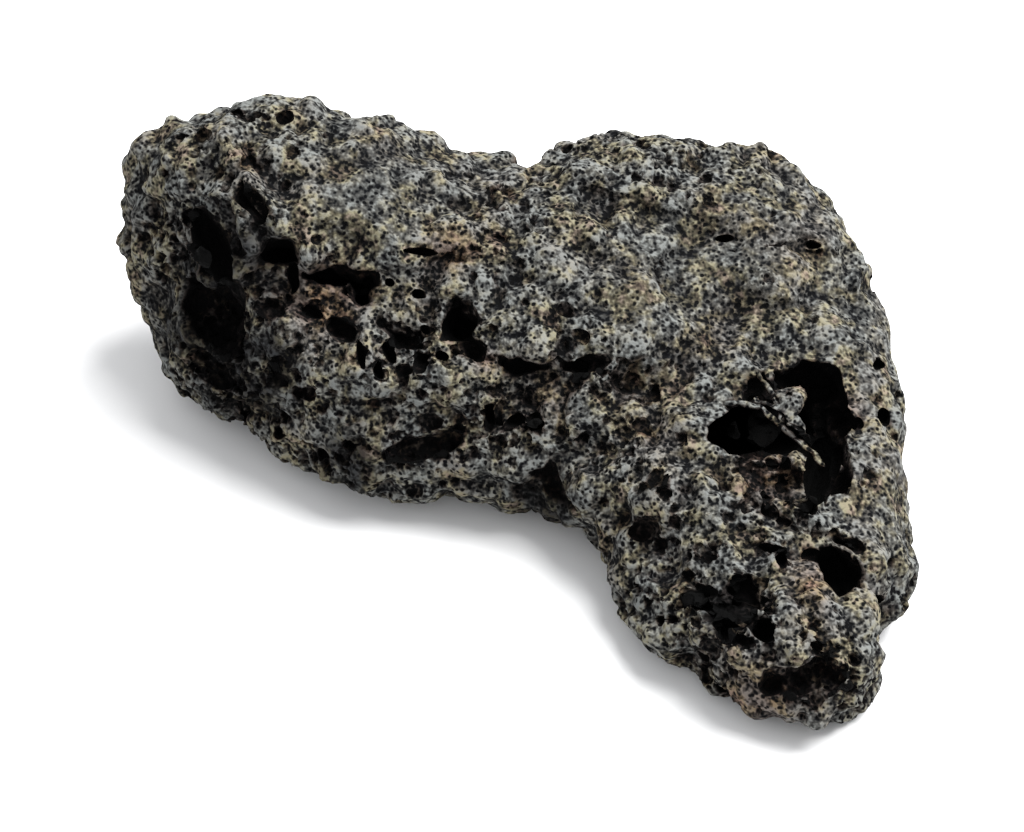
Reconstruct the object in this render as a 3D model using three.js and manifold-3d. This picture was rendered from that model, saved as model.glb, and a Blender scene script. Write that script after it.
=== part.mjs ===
// Lava rock: one piece of black basaltic scoria, bent like a boomerang, with its frozen gas bubbles open.
// Millimetres, +Z up. The origin is the centre of the underside, at the level the stone rests on.

import * as THREE from "three";
import { mergeVertices } from "three/addons/utils/BufferGeometryUtils.js";
import { ImprovedNoise } from "three/addons/math/ImprovedNoise.js";
import Module from "manifold-3d";

const wasm = await Module();
wasm.setup();

// Driving dimensions.
const LENGTH = 120; // left end to right flank, along X

// The swollen masses that the lava froze in. Each is a blunt ellipsoid: its centre, its half sizes, its turn
// about Z and its tilt about its own X, in degrees. Together they make the high left arm, the body behind the
// bend, and the leg that slopes down to the front.
const MASSES = [
  { at: [-28, 34, 28], half: [22, 17, 19], turn: 0, tilt: 0 }, // the left arm's plateau
  { at: [-46, 35, 28], half: [16, 15, 17], turn: 0, tilt: 0 }, // the left arm's blunt end
  { at: [-54, 33, 36], half: [8, 8, 7], turn: 0, tilt: 0 }, // a knob on the blunt end
  { at: [-41, 27, 12], half: [16, 11.5, 12], turn: 0, tilt: 0 }, // the left arm's heel
  { at: [-18, 19, 16], half: [23, 15, 17], turn: 0, tilt: 12 }, // the arm's front face
  { at: [-13, 7.5, 9], half: [18, 9, 11], turn: 0, tilt: 0 }, // the lip under the arm
  { at: [6, 28, 21], half: [22, 23, 18], turn: 0, tilt: 8 }, // the body behind the bend
  { at: [29, 37, 21], half: [25, 15, 18], turn: -6, tilt: 0 }, // the back shoulder
  { at: [31, 13, 12], half: [31, 25, 16], turn: 0, tilt: 17 }, // the slope down from the shoulder
  { at: [34, -8.5, 8], half: [20, 23, 12], turn: 30, tilt: 12 }, // the leg
  { at: [46, -8, 10], half: [12, 15, 11], turn: 0, tilt: 0 }, // the leg's right flank
  { at: [40, -31.5, 8], half: [13.5, 12, 10], turn: -8, tilt: 0 }, // the foot of the leg
  { at: [22, -25.5, 4], half: [4, 3, 3.5], turn: 0, tilt: 0 }, // a small lobe on the leg's left flank
];
const MASS_BLUNTNESS = 2.6; // 2 would be a true ellipsoid
const MASS_BLEND = 9; // how far one mass flows into the next

// Broken faces: planes that cut the masses, each with its outward normal and its distance from the origin.
const BREAKS = [
  { normal: [0.1, -0.05, 1], reach: 47 },
  { normal: [-0.8, -0.5, 0.2], reach: 36.5 },
  { normal: [1, 0, 0], reach: 59 },
  { normal: [0, 0, -1], reach: -0.3 },
];
const BREAK_ROUNDING = 4;

// The crust's relief: rounded lumps with sharp creases between them, as wavelength and height. The shift
// keeps the layers' creases apart.
const RELIEF = [
  { wave: 24, rise: 2.6, shift: 31.7 },
  { wave: 11, rise: 2.1, shift: 63.4 },
  { wave: 5.5, rise: 1.1, shift: 95.1 },
];
const RELIEF_LEVEL = 0.45; // sinks the relief by as much as it adds on average

// The front and top are laid out on a plane that slants back at 45 degrees. A place's first number runs
// across, along X, its second runs up the slant, and its third is how far below the surface it lies.
const SLANT = Math.PI / 4;
const UP_SLANT = new THREE.Vector3(0, Math.cos(SLANT), Math.sin(SLANT));
const OFF_SLANT = new THREE.Vector3(0, -Math.sin(SLANT), Math.cos(SLANT));

// The frozen gas bubbles that the surface cuts open. Each is a stretched ball: its place, its half width,
// half height and half depth on the slant, and the lean of its width in degrees.
const BUBBLES = [
  // the gullies down the arm's left end, with the ridges left between them, and a dent and a hole below
  { at: [-45.5, 44.5, 0], half: [10, 4.8, 7], lean: -57 },
  { at: [-39.5, 49, 0], half: [4.5, 1.8, 3.5], lean: -54 },
  { at: [-46, 32, 0], half: [7, 4.4, 6], lean: -48 },
  { at: [-47, 24, 0], half: [4.6, 2.8, 2.6], lean: -38 },
  { at: [-43.5, 21.5, 0], half: [2, 1.7, 4], lean: 0 },
  // slots and round holes in the arm's front face
  { at: [-35, 40.5, 0], half: [3.5, 1.7, 5], lean: -4 },
  { at: [-27, 37, 0], half: [4.6, 1.4, 5], lean: -7 },
  { at: [-22, 35.5, 0], half: [2.3, 2.6, 5], lean: 0 },
  { at: [-25.5, 29, 0], half: [3, 1.3, 4], lean: -25 },
  { at: [-17.5, 28.5, 0], half: [3.6, 1.3, 4], lean: -36 },
  { at: [-8, 30.5, 0.5], half: [2.6, 4, 8], lean: 8 },
  { at: [-6, 26, 0], half: [1.5, 2.4, 4], lean: 25 },
  // the cleft, the groove and the dent around the bend
  { at: [2, 24, 0], half: [4, 1, 3.5], lean: -3 },
  { at: [10, 24, 0], half: [5, 1, 3.5], lean: 6 },
  { at: [-13, 11.5, 0], half: [6.5, 1.6, 3.5], lean: 12 },
  { at: [5.5, 5.5, 0], half: [4.4, 3.6, 2.4], lean: -25 },
  // the great bubble in the leg: five that met, and the shallow floor in front of them
  { at: [36.5, 13.5, 1], half: [7.6, 4, 11], lean: 8 },
  { at: [45, 20, 1], half: [5, 4.4, 12], lean: 0 },
  { at: [47, 12.5, 0], half: [3.1, 9.2, 10], lean: 8 },
  { at: [37.5, 20.5, 0], half: [3.6, 2.8, 6], lean: 30 },
  { at: [42, 15.5, 6], half: [8.5, 7, 10], lean: 0 },
  { at: [38, 7.5, 0], half: [7, 3.2, 3.2], lean: -22 },
  // the leg's round holes, crease and dents
  { at: [47, -6.5, 0.5], half: [3.6, 3.5, 7], lean: 0 },
  { at: [49, -2.5, 0], half: [3.2, 1, 3], lean: -28 },
  { at: [33, -9.5, 0], half: [5, 4.6, 3.8], lean: -12 },
  { at: [30.5, -14, 0], half: [1.7, 1.5, 3.5], lean: 0 },
  { at: [35.5, -13.5, 0], half: [1.8, 1.8, 3.5], lean: 0 },
  // the long hollow in the foot
  { at: [41.5, -21, 0], half: [7, 3, 6], lean: 6 },
  { at: [37.5, -22, 0], half: [2.4, 1.9, 4.5], lean: 0 },
  { at: [44.5, -18.5, 0], half: [3.4, 1.6, 3], lean: -20 },
  // dashes across the slope under the back shoulder
  { at: [39.5, 42, 0], half: [2.2, 1, 3], lean: 0 },
  { at: [46.5, 42, 0], half: [2, 0.9, 3], lean: 0 },
];
const BUBBLE_UNEVENNESS = 0.3;
const BUBBLE_LUMPS = 1.4; // lumps of unevenness per bubble radius

// The threads of rock left standing in the great bubble's mouth, as the places that each runs through.
const STRANDS = [
  [[30.5, 18, 1.2], [36.5, 18.5, 0.8], [41.5, 16.5, 0.8]],
  [[36.5, 26, 1], [39.5, 20, 0.8], [41.5, 16.5, 0.8], [43.5, 13, 2]],
  [[39, 17, 1], [43, 13, 1.5], [48.5, 8.5, 2]],
  [[41.5, 16.5, 0.8], [43, 19.5, 0.8], [39.5, 20, 0.8]],
];
const STRAND_RADIUS = 0.7;

// The bubbles on the back, the ends and the underside: strewn over the skin at random, always the same way.
const STREWN = { count: 10, smallest: 1.6, largest: 5.5, gap: 3, seed: 11, aboveGround: 5, faceAway: 0.1 };

// The skin's fineness. It is a capsule bent along the stone's spine and pressed onto the surface.
const SPINE = new THREE.CatmullRomCurve3([
  new THREE.Vector3(-40, 31, 24),
  new THREE.Vector3(-12, 27, 20),
  new THREE.Vector3(20, 24, 18),
  new THREE.Vector3(38, 6, 15),
  new THREE.Vector3(41, -26, 9),
]);
const GIRTH_FACES = 36;
const SPINE_FACES = 32;
const CAP_FACES = 7;
const SPREAD_ROUNDS = 40;
const SPREAD_STEP = 0.7; // share of the way to even spacing that a point moves in one round
const SURFACE_GAP = 0.1;
const CAREFUL_STEP = 0.6; // share of the distance to the surface that is safe to step

const noise = new ImprovedNoise();
const degrees = THREE.MathUtils.degToRad;

function smoothMin(a, b, reach) {
  const overlap = Math.max(reach - Math.abs(a - b), 0) / reach;
  return Math.min(a, b) - (overlap * overlap * reach) / 4;
}

for (const mass of MASSES) {
  mass.centre = new THREE.Vector3(...mass.at);
  const turned = new THREE.Euler(degrees(mass.tilt), 0, degrees(mass.turn), "ZYX");
  mass.unturn = new THREE.Quaternion().setFromEuler(turned).invert();
}
for (const side of BREAKS) side.out = new THREE.Vector3(...side.normal).normalize();

// Distance from a point to a mass's surface, near enough for pressing the skin onto it.
const local = new THREE.Vector3();
function massDistance(point, { centre, unturn, half }) {
  local.copy(point).sub(centre).applyQuaternion(unturn);
  const shares = local.toArray().map((reach, axis) => Math.abs(reach) / half[axis]);
  const size = shares.reduce((sum, share) => sum + share ** MASS_BLUNTNESS, 0) ** (1 / MASS_BLUNTNESS);
  const slopes = shares.map((share, axis) => (share / size) ** (MASS_BLUNTNESS - 1) / half[axis]);
  return (size - 1) / Math.hypot(...slopes);
}

function reliefHeight(point) {
  let height = 0;
  for (const { wave, rise, shift } of RELIEF) {
    const n = noise.noise(point.x / wave + shift, point.y / wave - shift, point.z / wave + shift);
    height += rise * (2 * Math.abs(n) - RELIEF_LEVEL);
  }
  return height;
}

function stoneDistance(point) {
  let distance = Infinity;
  for (const mass of MASSES) distance = smoothMin(distance, massDistance(point, mass), MASS_BLEND);
  for (const { out, reach } of BREAKS) {
    distance = -smoothMin(-distance, reach - out.dot(point), BREAK_ROUNDING);
  }
  return distance - reliefHeight(point);
}

function outwards(point, step = 0.2) {
  const slope = new THREE.Vector3();
  for (const axis of ["x", "y", "z"]) {
    const ahead = point.clone();
    const behind = point.clone();
    ahead[axis] += step;
    behind[axis] -= step;
    slope[axis] = stoneDistance(ahead) - stoneDistance(behind);
  }
  return slope.normalize();
}

// A closed geometry with its seams merged and its faces of no size left out.
function closedGeometry(geometry) {
  const bare = new THREE.BufferGeometry();
  bare.setAttribute("position", geometry.getAttribute("position"));
  bare.setIndex(geometry.getIndex());
  const merged = mergeVertices(bare, 1e-4);
  const corners = merged.getIndex().array;
  const kept = [];
  for (let i = 0; i < corners.length; i += 3) {
    const face = [corners[i], corners[i + 1], corners[i + 2]];
    if (new Set(face).size === 3) kept.push(...face);
  }
  merged.setIndex(kept);
  return merged;
}

function solidOf(geometry) {
  const closed = closedGeometry(geometry);
  return new wasm.Manifold(
    new wasm.Mesh({
      numProp: 3,
      vertProperties: closed.getAttribute("position").array,
      triVerts: new Uint32Array(closed.getIndex().array),
    }),
  );
}

function geometryOf(solid) {
  const mesh = solid.getMesh();
  const geometry = new THREE.BufferGeometry();
  geometry.setAttribute("position", new THREE.BufferAttribute(mesh.vertProperties, 3));
  geometry.setIndex(new THREE.BufferAttribute(mesh.triVerts, 1));
  geometry.computeVertexNormals();
  return geometry;
}

// The line from the spine that a point of the capsule rises along.
function risingLine(point) {
  const along = THREE.MathUtils.clamp(point.y, -0.5, 0.5);
  const ahead = SPINE.getTangentAt(along + 0.5);
  const side = new THREE.Vector3(-ahead.y, ahead.x, 0).normalize();
  const up = new THREE.Vector3().crossVectors(ahead, side);
  const out = new THREE.Vector3()
    .addScaledVector(ahead, point.y - along)
    .addScaledVector(side, -point.x)
    .addScaledVector(up, point.z);
  return new THREE.Ray(SPINE.getPointAt(along + 0.5), out.normalize());
}

function riseToSurface(point) {
  const line = risingLine(point);
  const place = new THREE.Vector3();
  let reach = 0;
  for (let depth = 1; depth > SURFACE_GAP; reach += CAREFUL_STEP * depth) {
    depth = -stoneDistance(line.at(reach, place));
  }
  return place;
}

function neighboursOf(geometry) {
  const neighbours = Array.from({ length: geometry.getAttribute("position").count }, () => new Set());
  const corners = geometry.getIndex().array;
  for (let i = 0; i < corners.length; i += 3) {
    for (let k = 0; k < 3; k++) {
      const here = corners[i + k];
      const next = corners[i + ((k + 1) % 3)];
      neighbours[here].add(next);
      neighbours[next].add(here);
    }
  }
  return neighbours;
}

// The skin: each of the capsule's points rises from the spine until it meets the surface, and the points are
// then spread evenly over it.
function skin() {
  const ball = closedGeometry(new THREE.CapsuleGeometry(1, 1, CAP_FACES, GIRTH_FACES, SPINE_FACES));
  const position = ball.getAttribute("position");
  const neighbours = neighboursOf(ball);
  let points = neighbours.map((_, i) => riseToSurface(new THREE.Vector3().fromBufferAttribute(position, i)));
  for (let round = 0; round < SPREAD_ROUNDS; round++) {
    points = points.map((point, i) => {
      const slide = new THREE.Vector3();
      for (const j of neighbours[i]) slide.add(points[j]);
      slide.divideScalar(neighbours[i].size).sub(point);
      const out = outwards(point);
      slide.addScaledVector(out, -slide.dot(out));
      const next = point.clone().addScaledVector(slide, SPREAD_STEP);
      return next.addScaledVector(out, -SPREAD_STEP * stoneDistance(next));
    });
  }
  points.forEach((point, i) => position.setXYZ(i, point.x, point.y, point.z));
  return ball;
}

// The point of the surface, or below it, at a place on the slanted plane.
const START_OUTSIDE = 90;
function onStone([across, up, sunk]) {
  const point = new THREE.Vector3(across, 0, 0).addScaledVector(UP_SLANT, up);
  point.addScaledVector(OFF_SLANT, START_OUTSIDE);
  for (let gap = START_OUTSIDE; gap > SURFACE_GAP; gap = stoneDistance(point)) {
    point.addScaledVector(OFF_SLANT, -CAREFUL_STEP * Math.min(gap, MASS_BLEND));
  }
  return point.addScaledVector(OFF_SLANT, -sunk);
}

// A bubble's ball, uneven, with more faces if it is wide.
const WIDE_BUBBLE = 3;
function bubbleSolid({ centre, half, lean }) {
  const girth = Math.sqrt(half[0] * half[1]);
  const ball = new THREE.IcosahedronGeometry(1, girth < WIDE_BUBBLE ? 1 : 2);
  const position = ball.getAttribute("position");
  const point = new THREE.Vector3();
  const lump = new THREE.Vector3();
  for (let i = 0; i < position.count; i++) {
    point.fromBufferAttribute(position, i);
    lump.copy(point).multiplyScalar(BUBBLE_LUMPS).add(centre);
    point.multiplyScalar(1 + BUBBLE_UNEVENNESS * noise.noise(lump.x, lump.y, lump.z));
    position.setXYZ(i, point.x, point.y, point.z);
  }
  const turned = new THREE.Quaternion().setFromEuler(new THREE.Euler(SLANT, 0, degrees(lean)));
  const place = new THREE.Matrix4().compose(centre, turned, new THREE.Vector3(...half));
  return solidOf(ball.applyMatrix4(place));
}

const STRAND_SIDES = 6;
function strandSolids(places) {
  const points = places.map(onStone);
  return points.slice(1).map((end, i) => {
    const run = end.clone().sub(points[i]);
    const middle = points[i].clone().addScaledVector(run, 0.5);
    const rod = new THREE.CapsuleGeometry(STRAND_RADIUS, run.length(), 2, STRAND_SIDES, 1);
    const turned = new THREE.Quaternion().setFromUnitVectors(new THREE.Vector3(0, 1, 0), run.normalize());
    return solidOf(rod.applyQuaternion(turned).translate(middle.x, middle.y, middle.z));
  });
}

// A repeatable stream of numbers from 0 to 1.
function randomStream(seed) {
  let state = seed;
  return () => {
    state = (state * 1664525 + 1013904223) % 4294967296;
    return state / 4294967296;
  };
}

function strewnBubbles(geometry, placed) {
  const random = randomStream(STREWN.seed);
  const position = geometry.getAttribute("position");
  const strewn = [];
  while (strewn.length < STREWN.count) {
    const centre = new THREE.Vector3().fromBufferAttribute(position, Math.floor(random() * position.count));
    const size = STREWN.smallest + (STREWN.largest - STREWN.smallest) * random() ** 2;
    const half = [size * (0.8 + 0.4 * random()), size * (0.6 + 0.4 * random()), size];
    const lean = 180 * random();
    const inFront = outwards(centre, size).dot(OFF_SLANT) > STREWN.faceAway;
    const crowded = [...placed, ...strewn].some((other) => {
      return other.centre.distanceTo(centre) < Math.max(...other.half) + size + STREWN.gap;
    });
    if (centre.z > STREWN.aboveGround + size && !inFront && !crowded) strewn.push({ centre, half, lean });
  }
  return strewn;
}

const GROUND_DEPTH = 40;
const ground = new THREE.BoxGeometry(3 * LENGTH, 3 * LENGTH, GROUND_DEPTH).translate(0, 0, -GROUND_DEPTH / 2);

const crust = skin();
const opened = BUBBLES.map((bubble) => ({ ...bubble, centre: onStone(bubble.at) }));
const bubbles = wasm.Manifold.union([...opened, ...strewnBubbles(crust, opened)].map(bubbleSolid));
const strands = wasm.Manifold.union(STRANDS.flatMap(strandSolids));
const stone = geometryOf(solidOf(crust).subtract(solidOf(ground)).subtract(bubbles.subtract(strands)));

// Set to its length, with the middle of its underside at the origin.
stone.computeBoundingBox();
const { min, max } = stone.boundingBox;
stone.translate(-(min.x + max.x) / 2, -(min.y + max.y) / 2, -min.z);
stone.scale(...Array(3).fill(LENGTH / (max.x - min.x)));

const basalt = new THREE.MeshStandardMaterial({ color: 0x55534c, roughness: 0.95, metalness: 0 });
const rock = new THREE.Mesh(stone, basalt);
rock.name = "lava_rock";

const lavaRock = new THREE.Group();
lavaRock.add(rock);

export default lavaRock;
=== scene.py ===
# A lava rock: one hand-sized piece of vesicular basaltic scoria, bent like a boomerang, on a white table.
# Metres throughout, +Z up. The stone's high arm lies along X and its leg comes towards the camera.

import math
import random

import bmesh
import bpy
from mathutils import Euler, Matrix, Vector, kdtree, noise
from mathutils.bvhtree import BVHTree


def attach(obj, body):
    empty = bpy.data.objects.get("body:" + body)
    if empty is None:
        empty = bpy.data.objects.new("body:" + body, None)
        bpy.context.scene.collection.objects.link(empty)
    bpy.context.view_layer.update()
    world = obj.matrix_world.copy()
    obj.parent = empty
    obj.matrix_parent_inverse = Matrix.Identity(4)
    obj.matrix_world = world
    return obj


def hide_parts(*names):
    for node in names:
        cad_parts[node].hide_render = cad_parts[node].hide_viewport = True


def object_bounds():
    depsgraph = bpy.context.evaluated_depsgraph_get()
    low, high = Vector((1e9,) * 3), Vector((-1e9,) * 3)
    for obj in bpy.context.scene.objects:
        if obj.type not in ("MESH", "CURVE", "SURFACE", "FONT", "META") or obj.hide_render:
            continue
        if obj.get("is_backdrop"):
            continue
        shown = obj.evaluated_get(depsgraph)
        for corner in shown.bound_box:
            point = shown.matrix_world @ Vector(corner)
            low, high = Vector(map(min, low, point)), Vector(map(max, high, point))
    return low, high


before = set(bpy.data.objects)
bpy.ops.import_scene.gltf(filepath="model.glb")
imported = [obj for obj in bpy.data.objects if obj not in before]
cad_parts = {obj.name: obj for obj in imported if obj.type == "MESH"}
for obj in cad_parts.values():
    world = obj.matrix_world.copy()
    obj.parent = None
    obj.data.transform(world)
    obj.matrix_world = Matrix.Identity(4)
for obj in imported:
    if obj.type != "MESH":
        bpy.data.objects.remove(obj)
lowest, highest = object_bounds()
MM = 0.001


# ---- The camera ----
# A long lens looks down at 45 degrees from straight in front, at the middle of the stone.

SENSOR_WIDTH = 36.0
LENS = 120.0
VIEW_WIDTH = 1.247 * (highest.x - lowest.x)
LOOK_DOWN = math.radians(45)
AIM_ACROSS = 1.1 * MM
AIM_FORWARD = 4.5 * MM
AIM_HEIGHT = 0.465 * highest.z
NEAREST_SEEN = 10 * MM

camera_data = bpy.data.cameras.new("camera")
camera_data.sensor_width = SENSOR_WIDTH
camera_data.lens = LENS
camera_data.clip_start = NEAREST_SEEN
camera = bpy.data.objects.new("camera", camera_data)
bpy.context.scene.collection.objects.link(camera)
bpy.context.scene.camera = camera
looked_at = Vector((AIM_ACROSS, -AIM_FORWARD, AIM_HEIGHT))
towards_camera = Vector((0, -math.cos(LOOK_DOWN), math.sin(LOOK_DOWN)))
camera.location = looked_at + towards_camera * VIEW_WIDTH * LENS / SENSOR_WIDTH
camera.rotation_euler = (math.pi / 2 - LOOK_DOWN, 0, 0)


# ---- The stone's crust ----
# Lava that froze while it still held gas. The skin is crumpled into lumps a few millimetres across, with
# sharp creases between them, and the edges of its hollows are torn rather than clean.

NOISE_SEED = 5
MERGE_DISTANCE = 0.001 * MM
CRUST_VOXEL = 0.42 * MM
CRUST_SMOOTHING = 4
TEARING = [  # wavelength and how far an edge wanders
    (7.0 * MM, 0.8 * MM),
    (2.6 * MM, 0.4 * MM),
]
LUMPS = [  # wavelength and height of the lumps, which meet in sharp creases
    (11.0 * MM, 1.2 * MM),
    (5.2 * MM, 0.9 * MM),
]
ROUGHNESS = [  # wavelength and height of the finer unevenness
    (2.8 * MM, 0.55 * MM),
    (1.5 * MM, 0.4 * MM),
]

noise.seed_set(NOISE_SEED)
stone = bpy.data.objects.new("lava_rock_stone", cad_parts["lava_rock"].data.copy())
bpy.context.scene.collection.objects.link(stone)
shape = bmesh.new()
shape.from_mesh(stone.data)
bmesh.ops.remove_doubles(shape, verts=shape.verts, dist=MERGE_DISTANCE)
shape.to_mesh(stone.data)
shape.free()


def keep_modifiers(piece):
    """Makes what the piece's modifiers show its own mesh."""
    shown = piece.evaluated_get(bpy.context.evaluated_depsgraph_get())
    mesh = bpy.data.meshes.new_from_object(shown)
    piece.modifiers.clear()
    piece.data = mesh


remesh = stone.modifiers.new("fine skin", "REMESH")
remesh.mode = "VOXEL"
remesh.voxel_size = CRUST_VOXEL
smooth = stone.modifiers.new("melt the facets", "SMOOTH")
smooth.factor = 0.5
smooth.iterations = CRUST_SMOOTHING
keep_modifiers(stone)


# The larger ridges and creases: width and rise in mm, and the places across and up the slant that each
# runs through.
FOLDS = [
    (2.2, 2.0, [(-42, 57), (-38.5, 48), (-34.5, 42), (-29.5, 37)]),
    (1.6, 1.5, [(-42, 45), (-37.5, 37)]),
    (2.6, -1.8, [(12, 45.5), (28, 40), (38, 37.5), (47, 36.5)]),
    (2.2, 1.6, [(-54.5, 46.5)]),
    (3.2, 2.0, [(-51.5, 37)]),
    (2.4, -1.4, [(-8, 36), (2, 34), (12, 37)]),
    (3.0, 1.3, [(-4, 41), (8, 41.5)]),
    (2.4, 1.2, [(-25, 12), (-17, 6.5), (-6, 4.5)]),
    (2.0, -1.2, [(18, 19), (24, 8), (27, -2)]),
]
FOLD_REACH = 3  # widths


def on_slant(point):
    """A point's place across and up a plane that leans back at 45 degrees, in mm."""
    return Vector((point.x, (point.y + point.z) * math.sqrt(0.5))) / MM


def folded(place):
    """Height of the larger ridges and creases at a place on the slant."""
    height = 0
    for width, rise, path in FOLDS:
        gap = (place - Vector(path[0])).length
        for start, end in zip(path, path[1:]):
            run = Vector(end) - Vector(start)
            share = min(1, max(0, (place - Vector(start)).dot(run) / run.length_squared))
            gap = min(gap, (place - Vector(start) - run * share).length)
        if gap < FOLD_REACH * width:
            height += rise * MM * math.exp(-((gap / width) ** 2))
    return height


def torn(point):
    """How far the crust at a point has wandered sideways."""
    return sum((noise.noise_vector(point / wave) * reach for wave, reach in TEARING), Vector())


CALM = [  # across, up and radius in mm of the parts where the lava flowed smooth and few bubbles rose
    (39, 38, 17),
    (22, 31, 13),
    (-20, 47, 13),
    (55, 22, 12),
    (57, 2, 11),
]
CALM_STRENGTH = 1.6
CALM_FLATTENING = 0.6


def calm(place):
    """How smoothly the lava flowed at a place on the slant, from 0 to 1."""
    share = 0
    for across, up, radius in CALM:
        share += CALM_STRENGTH * max(0, 1 - (place - Vector((across, up))).length / radius)
    return min(1, share)


# Across, up, radius and rise in mm of a lump that has closed a bubble again but for a slit.
SWELLING = (38.5, 37.4, 3.2, 1.0)
LUMP_MEAN = 0.45


def crumple(point):
    """Height of the crumpled crust over its mean surface."""
    place = on_slant(point)
    height = 0
    for wave, rise in LUMPS:
        height += rise * (2 * abs(noise.noise(point / wave)) - LUMP_MEAN)
    for wave, rise in ROUGHNESS:
        height += rise * noise.noise(point / wave)
    height *= 1 - CALM_FLATTENING * calm(place)
    across, up, radius, rise = SWELLING
    return height + rise * MM * math.exp(-(((place - Vector((across, up))).length / radius) ** 2))


skin = [(vertex.co.copy(), vertex.normal.copy()) for vertex in stone.data.vertices]
for vertex, (point, normal) in zip(stone.data.vertices, skin):
    facing = max(0, normal.dot(towards_camera))
    fold = towards_camera * facing * folded(on_slant(point))
    vertex.co = point + torn(point) + normal * crumple(point) + fold


# ---- The gas bubbles ----
# Thousands of bubbles froze in the melt, and breaking opened those at the surface. The larger ones are
# hollows, a little stretched, and run into one another, which leaves thin walls and windows. The small ones
# are ragged pits, and threads of rock still cross the mouth of the great bubble.


def off_slant(across, up, out):
    """A point from its place on a plane that leans back at 45 degrees, seen square on."""
    return Vector((across, (up - out) * math.sqrt(0.5), (up + out) * math.sqrt(0.5)))


FRONT_BUBBLES = [  # across, up, half width, half height, half depth in mm, lean in degrees
    (-43.4, 38, 2.8, 6.5, 6, 24),
    (-40.5, 30.5, 2.2, 3, 5, 20),
    (-32.7, 36.4, 2.7, 1.4, 4, -6),
    (-31.1, 33.2, 0.9, 2.4, 3, 4),
    (-24.2, 31.9, 4.4, 1.3, 4, -8),
    (-20.8, 30, 1.9, 1.7, 4, 0),
    (-21, 21.6, 0.7, 2.2, 3, 8),
    (-16.9, 21.9, 0.9, 1.8, 3, 30),
    (-18.4, 19.3, 0.8, 1.5, 3, 25),
    (-12.4, 20.3, 1.2, 1.6, 3, 0),
    (-11.7, 25.3, 0.9, 0.8, 2, 0),
    (-9.1, 21.5, 1, 0.8, 2, -20),
    (-16.9, 32.3, 0.9, 0.7, 2, 0),
    (-12.2, 36.7, 2.6, 0.6, 2, -3),
    (-12.6, 30.5, 1.2, 0.8, 2, -30),
    (-28.3, 28, 1.5, 1, 2.5, -40),
    (-2.1, 12.9, 0.8, 2.2, 3, 5),
    (1.7, 12.1, 1.5, 1, 2.5, 20),
    (4.6, 11.5, 1.2, 0.9, 2.5, 0),
    (39.3, -7.7, 0.9, 1.4, 3, 12),
    (37.4, -6.1, 1.9, 0.6, 2, -14),
    (27.4, -13.8, 2.3, 1, 3, -14),
    (33.3, -18.8, 1.4, 0.9, 2.5, -30),
    (53.5, -13.7, 1.4, 1, 3, -20),
    (55.7, 12.5, 1.1, 1.5, 3, 0),
    (51.5, 11.7, 1, 0.8, 2.5, 0),
    (55.4, 20.2, 1.2, 0.9, 2.5, 20),
    (32.8, 39.1, 1.4, 0.6, 2, 0),
    (34.8, 10.6, 7.6, 3.8, 18, 14),
    (40.8, 11.2, 4.8, 4.4, 11, 0),
    (46.3, 6.5, 2.8, 7.6, 14, -14),
    (33.9, -11.6, 4.6, 2.6, 1.2, -8),
    (31.8, -17.9, 1.7, 1.6, 3.5, 0),
    (36.5, -17.6, 1.7, 1.9, 3.5, 0),
]
FROTH = [  # across, up and radius in mm of a part, and how much more it is riddled with bubbles
    (-15, 21, 9, 1),
    (-38, 20, 14, 1),
    (0, 12, 7, 1),
    (32, -16, 9, 1),
    (45, -24, 8, 1),
    (-50, 38, 8, 1),
]
FROTH_MEAN = 0.25
FROTH_SWING = 0.9
FROTH_WAVE = 16 * MM
FROTH_LEAST = 0.03
SEEDED_BUBBLES = 110
SEEDED_FROM = 0.9 * MM
SEEDED_TO = 1.9 * MM
SEEDED_SPACING = 1.6
SEEDED_LONGEST = 1.7
SEEDED_FLATTEST = 0.7
BUBBLE_FACES = 3  # subdivisions of an icosphere
BUBBLE_WOBBLE_WAVE = 2 * MM
BUBBLE_WOBBLE = 0.35 * MM
ABOVE_THE_STONE = 90

chance = random.Random(5)


def frothiness(point):
    """How frothy the lava was at a point, from 0 to 1."""
    share = FROTH_MEAN + FROTH_SWING * noise.noise(point / FROTH_WAVE) - calm(on_slant(point))
    for across, up, radius, extra in FROTH:
        share += extra * max(0, 1 - (on_slant(point) - Vector((across, up))).length / radius)
    return min(1, max(FROTH_LEAST, share))


skin_points = [vertex.co.copy() for vertex in stone.data.vertices]
skin_faces = [face.vertices for face in stone.data.polygons]
skin_tree = BVHTree.FromPolygons(skin_points, skin_faces)
balls = bmesh.new()
for across, up, wide, high, deep, lean in FRONT_BUBBLES:
    spot = skin_tree.ray_cast(off_slant(across, up, ABOVE_THE_STONE) * MM, -towards_camera)[0]
    turn = Euler((LOOK_DOWN, 0, 0)).to_matrix() @ Matrix.Rotation(math.radians(lean), 3, "Z")
    place = Matrix.LocRotScale(spot, turn, Vector((wide, high, deep)) * MM)
    bmesh.ops.create_icosphere(balls, subdivisions=BUBBLE_FACES, radius=1, matrix=place)
made = []
while len(made) < SEEDED_BUBBLES:
    spot = chance.choice(skin_points)
    radius = SEEDED_FROM + (SEEDED_TO - SEEDED_FROM) * chance.random() ** 2
    crowded = any((spot - other).length < SEEDED_SPACING * (radius + size) for other, size in made)
    if crowded or chance.random() > frothiness(spot):
        continue
    made.append((spot, radius))
    stretch = Vector((chance.uniform(1, SEEDED_LONGEST), 1, chance.uniform(SEEDED_FLATTEST, 1))) * radius
    turn = Euler([chance.uniform(0, math.tau) for _ in range(3)])
    place = Matrix.LocRotScale(spot, turn, stretch)
    bmesh.ops.create_icosphere(balls, subdivisions=BUBBLE_FACES, radius=1, matrix=place)
for vertex in balls.verts:
    vertex.co += noise.noise_vector(vertex.co / BUBBLE_WOBBLE_WAVE) * BUBBLE_WOBBLE
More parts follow.
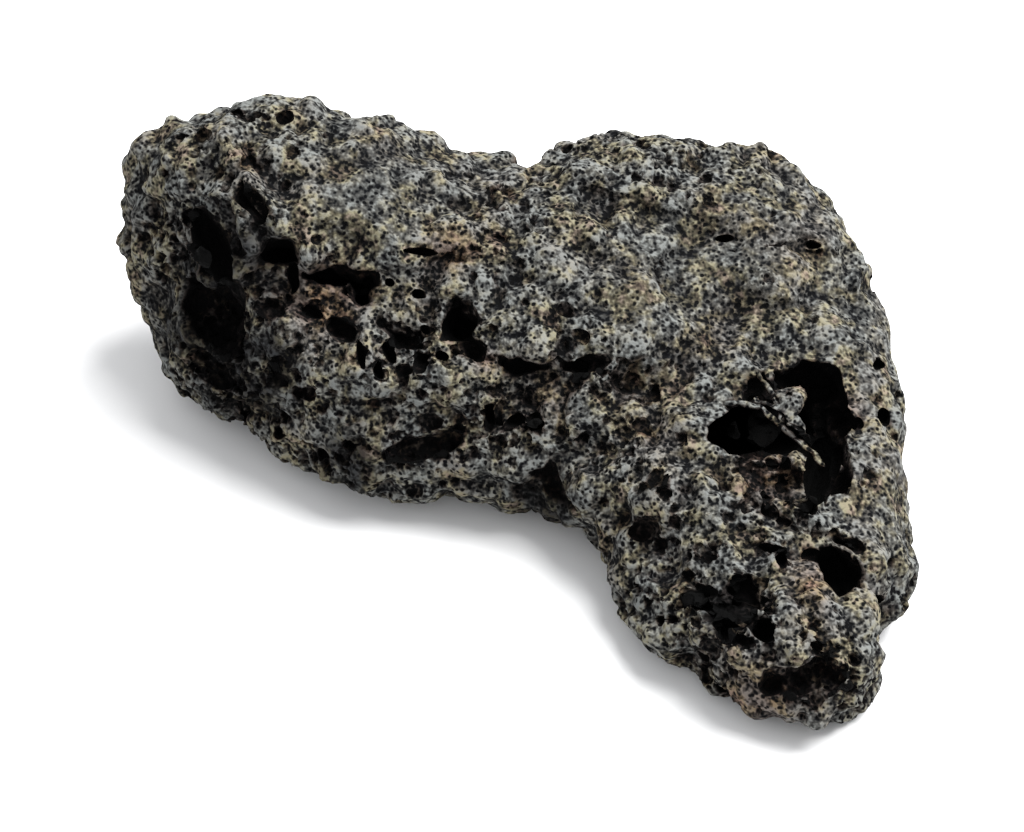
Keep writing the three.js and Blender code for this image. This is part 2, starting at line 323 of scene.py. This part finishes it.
cutter = bpy.data.objects.new("bubbles", bpy.data.meshes.new("bubbles"))
balls.to_mesh(cutter.data)
balls.free()
bpy.context.scene.collection.objects.link(cutter)
cut = stone.modifiers.new("bubbles", "BOOLEAN")
cut.operation = "DIFFERENCE"
cut.solver = "MANIFOLD"
cut.object = cutter
keep_modifiers(stone)
bpy.data.objects.remove(cutter)

PITS = [  # radius from, radius to, how many
    (0.7 * MM, 1.1 * MM, 2500),
    (0.4 * MM, 0.7 * MM, 14000),
]
PIT_REACH = 1.3  # radii
PIT_RAGGEDNESS = 0.6
PIT_RAG_WAVE = 0.9  # radii
PIT_HIGHEST = -0.5  # radii from the skin inwards to a pit's middle
PIT_LOWEST = 0.15


def press_pits(piece, smallest, largest, count):
    """Presses ragged pits of one range of sizes into the piece's skin."""
    points = [vertex.co.copy() for vertex in piece.data.vertices]
    normals = [vertex.normal.copy() for vertex in piece.data.vertices]
    near = kdtree.KDTree(len(points))
    for i, point in enumerate(points):
        near.insert(point, i)
    near.balance()
    pushes = {}
    for _ in range(count):
        middle = chance.randrange(len(points))
        radius = chance.uniform(smallest, largest)
        if chance.random() > frothiness(points[middle]):
            continue
        inwards = -normals[middle]
        centre = points[middle] + inwards * radius * chance.uniform(PIT_HIGHEST, PIT_LOWEST)
        for point, i, _ in near.find_range(centre, PIT_REACH * radius):
            edge = radius * (1 + PIT_RAGGEDNESS * noise.noise(point / (PIT_RAG_WAVE * radius)))
            away = point - centre
            along = away.dot(inwards)
            inside = along * along - away.dot(away) + edge * edge
            if away.length < edge and normals[i].dot(inwards) < 0:
                depth = math.sqrt(max(0, inside)) - along
                if depth > pushes.get(i, (0, None))[0]:
                    pushes[i] = (depth, inwards)
    for i, (depth, inwards) in pushes.items():
        piece.data.vertices[i].co = points[i] + inwards * depth
    piece.data.update()


for sizes in PITS:
    press_pits(stone, *sizes)

STRANDS = [  # radius in mm, and the places across, up and out that each thread of rock runs through
    (0.45, [(30.5, 14.4, 19.5), (34, 14.6, 19.8), (37.5, 13.8, 20.5), (40, 11.4, 21.5)]),
    (0.5, [(40, 11.4, 21.5), (42.3, 9.3, 22.5), (44.7, 7.2, 23.5), (46, 5.6, 24)]),
    (0.45, [(35.6, 21, 16.5), (37.8, 17.8, 18), (39.3, 15.5, 19.5), (40.2, 13, 20.8), (40, 11.4, 21.5)]),
    (0.5, [(39.3, 15.5, 19.5), (41.3, 16.2, 19), (43.2, 16.7, 18.5)]),
    (0.5, [(43.2, 16.7, 18.5), (42.8, 14.4, 19.5), (41.2, 12.6, 20.8), (40, 11.4, 21.5)]),
    (0.6, [(40.2, 14.4, 20), (41.6, 14.6, 19.6), (42.6, 15.4, 19.2)]),
]
STRAND_HALF = 0.72  # of a stretch of thread, so that each runs into the next
STRAND_WOBBLE_WAVE = 1.3 * MM
STRAND_WOBBLE = 0.3 * MM
threads = bmesh.new()
for radius, path in STRANDS:
    for start, end in zip(path, path[1:]):
        start, end = off_slant(*start) * MM, off_slant(*end) * MM
        turn = (end - start).to_track_quat("Z", "X")
        stretch = Vector((radius * MM, radius * MM, STRAND_HALF * (end - start).length))
        around = Matrix.LocRotScale((start + end) / 2, turn, stretch)
        bmesh.ops.create_icosphere(threads, subdivisions=BUBBLE_FACES, radius=1, matrix=around)
for vertex in threads.verts:
    vertex.co += noise.noise_vector(vertex.co / STRAND_WOBBLE_WAVE) * STRAND_WOBBLE
web = bpy.data.objects.new("threads", bpy.data.meshes.new("threads"))
threads.to_mesh(web.data)
threads.free()
bpy.context.scene.collection.objects.link(web)
weld = stone.modifiers.new("threads", "BOOLEAN")
weld.operation = "UNION"
weld.solver = "MANIFOLD"
weld.object = web
keep_modifiers(stone)
bpy.data.objects.remove(web)

TRIANGLES = 195000
stone.data.calc_loop_triangles()
thin = stone.modifiers.new("spare the flat parts", "DECIMATE")
thin.ratio = min(1, TRIANGLES / len(stone.data.loop_triangles))
keep_modifiers(stone)
for vertex in stone.data.vertices:
    vertex.co.z = max(vertex.co.z, 0)


# ---- The stone's surface ----
# Basalt scoria: black volcanic glass full of pale grey crystals, broken and never polished, so it hardly
# shines. Weathering has left rusty iron in some hollows. The crests are lightened with pale dust and a
# painted highlight, and the pits, hollows and left end are darkened with painted shade and painted shadow.


def linear(code):
    """An sRGB hex colour as linear red, green, blue and alpha."""
    parts = [int(code[i : i + 2], 16) / 255 for i in (1, 3, 5)]
    return [p / 12.92 if p <= 0.04045 else ((p + 0.055) / 1.055) ** 2.4 for p in parts] + [1]


def add(tree, kind, settings=(), **inputs):
    """A node with its settings; an input is a value, or another node's output to link."""
    node = tree.nodes.new(kind)
    for name, value in dict(settings).items():
        setattr(node, name, value)
    for name, value in inputs.items():
        socket = node.inputs[int(name[1:]) if name[0] == "_" else name.replace("_", " ")]
        if isinstance(value, bpy.types.NodeSocket):
            tree.links.new(value, socket)
        else:
            socket.default_value = value
    return node


def store(name, values):
    """Keeps one number for each of the stone's points, for its material to read."""
    stone.data.attributes.new(name, "FLOAT", "POINT").data.foreach_set("value", values)


# Openness is the share of rays from each point that leave the stone. The material darkens closed spots with
# it as painted shade.
OPENNESS_RAYS = 14
OPENNESS_REACH = 30 * MM
OPENNESS_START = 0.05 * MM

stone.data.update()
tree_of_faces = BVHTree.FromPolygons(
    [vertex.co for vertex in stone.data.vertices], [face.vertices for face in stone.data.polygons]
)
golden = math.pi * (3 - math.sqrt(5))
sky = []
for i in range(OPENNESS_RAYS):
    rise = math.sqrt((i + 0.5) / OPENNESS_RAYS)
    out = math.sqrt(1 - rise * rise)
    sky.append(Vector((out * math.cos(golden * i), out * math.sin(golden * i), rise)))
openness = []
for vertex in stone.data.vertices:
    turn = vertex.normal.to_track_quat("Z", "X")
    start = vertex.co + vertex.normal * OPENNESS_START
    clear = sum(tree_of_faces.ray_cast(start, turn @ ray, OPENNESS_REACH)[0] is None for ray in sky)
    openness.append(clear / OPENNESS_RAYS)
store("openness", openness)

# Crests: how far each point stands above a smoothed copy. The material lightens crests with it, as pale dust
# and a painted highlight.
CREST_ROUNDS = 12
CREST_HEIGHT = 0.25 * MM
worn = bmesh.new()
worn.from_mesh(stone.data)
all_ways = {"use_axis_x": True, "use_axis_y": True, "use_axis_z": True}
for _ in range(CREST_ROUNDS):
    bmesh.ops.smooth_vert(worn, verts=worn.verts, factor=1, **all_ways)
standing = [
    min(1, max(-1, (vertex.co - flat.co).dot(vertex.normal) / CREST_HEIGHT))
    for vertex, flat in zip(stone.data.vertices, worn.verts)
]
store("crest", standing)
worn.free()
store("calm", [calm(on_slant(vertex.co)) for vertex in stone.data.vertices])

RUST = [  # across, up and radius in mm of the parts where iron has turned the rock rusty pink
    (37.5, 4.2, 6.5),
    (50, 13.5, 4),
    (43.3, -10.6, 5),
    (37.1, -27, 7),
    (-25.6, 29.7, 7),
    (-2.8, 20.8, 3),
    (-8, 37, 5),
]
PAINTED_SHADOW_PATCHES = [  # across, up and radius in mm of the parts darkened with painted shadow, on the left end and undercut faces
    (-40.5, 36.5, 10),
    (-38.5, 19, 11),
    (-47, 28, 9),
    (-23.5, 6, 7),
    (6, -0.5, 6),
    (31, -15, 6),
]
PAINTED_SHADOW_STRENGTH = 1.5
PAINTED_SHADOW_WAVE = 4 * MM
RUST_SWING = 0.5
RUST_WAVE = 9 * MM
RUST_OFFSET = Vector((40, 0, 0))

# Painted shadow: a darkening mask over the listed parts, broken up by noise.
painted_shadow = []
for vertex in stone.data.vertices:
    share = 0
    place = on_slant(vertex.co)
    for across, up, radius in PAINTED_SHADOW_PATCHES:
        share += PAINTED_SHADOW_STRENGTH * max(0, 1 - (place - Vector((across, up))).length / radius)
    painted_shadow.append(min(1, share * (1 + noise.noise(vertex.co / PAINTED_SHADOW_WAVE))))
store("painted_shadow", painted_shadow)

rusty = []
for vertex in stone.data.vertices:
    share = RUST_SWING * max(0, noise.noise(vertex.co / RUST_WAVE + RUST_OFFSET))
    for across, up, radius in RUST:
        share += max(0, 1 - (on_slant(vertex.co) - Vector((across, up))).length / radius)
    rusty.append(min(1, share))
store("rust", rusty)

# Crystals of about 0.3 mm would be too fine to show, so the grain is drawn at 0.75 mm.
GRAIN = 0.75 * MM
CLOTS = 2.4 * MM
CLOT_SHARE = 0.6
PATCHES = 4.5 * MM
PORES = 0.9 * MM
PORE_WANDER_WAVE = 1.5 * MM
PORE_WANDER = 0.7 * MM
PORE_FLOOR = 0.15
PORE_RIM = 0.42
PORE_DARKNESS = 0.25
DUST_AND_HIGHLIGHT_ON_CRESTS = 0.09
CALM_EVENING = 0.25
CALM_TONE = 0.77
BUMP_HEIGHT = 0.22 * MM
TONES = [  # from black, painted shade in pores too fine for the mesh, to the crystals
    (0.56, "#020203"),
    (0.63, "#0a0b0d"),
    (0.7, "#262522"),
    (0.77, "#3b3934"),
    (0.86, "#504e47"),
    (0.96, "#737168"),
]
TINTS = [  # bluish, grey, tan and pinkish patches
    (0.4, "#dbe3f1"),
    (0.5, "#eceff5"),
    (0.59, "#f7f2da"),
    (0.68, "#f4e2dc"),
]
PAINTED_SHADE_BY_OPENNESS = [  # painted shade: darker where a spot sees less open sky
    (0.24, "#0b0908"),
    (0.46, "#46393a"),
    (0.66, "#b3a5a1"),
    (0.9, "#ffffff"),
]
RUST_TINT = "#f7dcd3"
# The painted shadow's darkening, multiplied into the colour.
PAINTED_SHADOW_TINT = "#77777c"

scoria = bpy.data.materials.new("basalt scoria")
scoria.use_nodes = True
nodes = scoria.node_tree
nodes.nodes.clear()
place = add(nodes, "ShaderNodeTexCoord").outputs["Object"]
grain = add(nodes, "ShaderNodeTexNoise", Vector=place, Scale=1 / GRAIN, Detail=1, Roughness=0.5)
clots = add(nodes, "ShaderNodeTexNoise", Vector=place, Scale=1 / CLOTS, Detail=2, Roughness=0.6)
patches = add(nodes, "ShaderNodeTexNoise", Vector=place, Scale=1 / PATCHES, Detail=3, Roughness=0.6)
wander = add(nodes, "ShaderNodeTexNoise", Vector=place, Scale=1 / PORE_WANDER_WAVE, Detail=2)
shift = add(
    nodes, "ShaderNodeVectorMath", {"operation": "MULTIPLY_ADD"}, _0=wander.outputs["Color"], _2=place
)
shift.inputs[1].default_value = (PORE_WANDER,) * 3
pores = add(nodes, "ShaderNodeTexVoronoi", Vector=shift.outputs[0], Scale=1 / PORES)
# The pores' floors sink in the bump and go black in the colour, as painted shade in pits too fine for the
# mesh.
pore_floor = add(
    nodes,
    "ShaderNodeMapRange",
    Value=pores.outputs["Distance"],
    From_Min=PORE_FLOOR,
    From_Max=PORE_RIM,
    To_Min=PORE_DARKNESS,
).outputs[0]

times = {"operation": "MULTIPLY"}
times_plus = {"operation": "MULTIPLY_ADD"}
held = {}
for name in ("openness", "crest", "calm", "painted_shadow", "rust"):
    held[name] = add(nodes, "ShaderNodeAttribute", {"attribute_name": name}).outputs["Fac"]
height = add(nodes, "ShaderNodeMath", times, _0=grain.outputs["Fac"], _1=pore_floor).outputs[0]
height = add(
    nodes, "ShaderNodeMath", times_plus, _0=clots.outputs["Fac"], _1=CLOT_SHARE, _2=height
).outputs[0]
# Partly pale dust and partly a painted highlight: crests are lifted towards the lighter tones.
dusted_and_highlighted = add(
    nodes, "ShaderNodeMath", times_plus, _0=held["crest"], _1=DUST_AND_HIGHLIGHT_ON_CRESTS, _2=height
).outputs[0]
fading = add(nodes, "ShaderNodeMath", times, _0=held["calm"], _1=CALM_EVENING).outputs[0]
evened = add(nodes, "ShaderNodeMix", Factor=fading, A=dusted_and_highlighted, B=CALM_TONE).outputs[0]

tone = add(nodes, "ShaderNodeValToRGB", Fac=evened)
tint = add(nodes, "ShaderNodeValToRGB", Fac=patches.outputs["Fac"])
# Painted shade: the colour is darkened in pits, hollows and creases, by how little open sky they see.
openness_shade = add(nodes, "ShaderNodeValToRGB", Fac=held["openness"])
for ramp, stops in ((tone, TONES), (tint, TINTS), (openness_shade, PAINTED_SHADE_BY_OPENNESS)):
    marks = ramp.color_ramp.elements
    for mark, (position, code) in zip(list(marks), (stops[0], stops[-1])):
        mark.position = position
        mark.color = linear(code)
    for position, code in stops[1:-1]:
        marks.new(position).color = linear(code)
# Multiplied over the tone: colour patches, rust, the painted shadow and the painted shade by openness.
overlays = [
    (1.0, tint.outputs["Color"]),
    (held["rust"], linear(RUST_TINT)),
    (held["painted_shadow"], linear(PAINTED_SHADOW_TINT)),
    (1.0, openness_shade.outputs["Color"]),
]
multiplied = {"data_type": "RGBA", "blend_type": "MULTIPLY"}
colour = tone.outputs["Color"]
for share, overlay in overlays:
    colour = add(nodes, "ShaderNodeMix", multiplied, _0=share, _6=colour, _7=overlay).outputs[2]

relief = add(nodes, "ShaderNodeBump", Strength=1.0, Distance=BUMP_HEIGHT, Height=height)
skin_shader = add(
    nodes,
    "ShaderNodeBsdfPrincipled",
    Base_Color=colour,
    Roughness=0.9,
    IOR=1.5,
    Specular_IOR_Level=0.08,
    Normal=relief.outputs["Normal"],
)
add(nodes, "ShaderNodeOutputMaterial", Surface=skin_shader.outputs["BSDF"])

stone.data.materials.clear()
stone.data.materials.append(scoria)
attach(stone, "root")
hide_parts("lava_rock")


# ---- The table and the light ----
# A table top of plain white laminate, moulded matt. One soft lamp stands high on the right and a little
# behind, in a pale room.

TABLE_HALF = 2.0
table_top = bmesh.new()
bmesh.ops.create_grid(table_top, x_segments=1, y_segments=1, size=TABLE_HALF)
floor = bpy.data.objects.new("table", bpy.data.meshes.new("table"))
table_top.to_mesh(floor.data)
table_top.free()
bpy.context.scene.collection.objects.link(floor)
paint = bpy.data.materials.new("matt white laminate")
paint.use_nodes = True
laminate = paint.node_tree.nodes["Principled BSDF"]
laminate.inputs["Base Color"].default_value = linear("#dedede")
laminate.inputs["Roughness"].default_value = 0.8
floor.data.materials.append(paint)
floor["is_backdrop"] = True

LAMP_DIRECTION = Vector((0.5, 0.2, 1)).normalized()
LAMP_DISTANCE = 0.7
LAMP_SIZE = 0.6
LAMP_WATTS = 14
ROOM_COLOUR = "#f4f5f7"
ROOM_STRENGTH = 1.2

lamp_data = bpy.data.lights.new("lamp", "AREA")
lamp_data.shape = "DISK"
lamp_data.size = LAMP_SIZE
lamp_data.energy = LAMP_WATTS
lamp = bpy.data.objects.new("lamp", lamp_data)
lamp.location = LAMP_DIRECTION * LAMP_DISTANCE
lamp.rotation_euler = LAMP_DIRECTION.to_track_quat("Z", "Y").to_euler()
bpy.context.scene.collection.objects.link(lamp)

room = bpy.data.worlds.new("room")
room.use_nodes = True
backdrop = room.node_tree.nodes["Background"]
backdrop.inputs["Color"].default_value = linear(ROOM_COLOUR)
backdrop.inputs["Strength"].default_value = ROOM_STRENGTH
bpy.context.scene.world = room
bpy.context.scene.view_settings.view_transform = "Standard"

visual_lowest, visual_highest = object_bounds()
sizes = {"cad": [list(lowest), list(highest)], "visual": [list(visual_lowest), list(visual_highest)]}
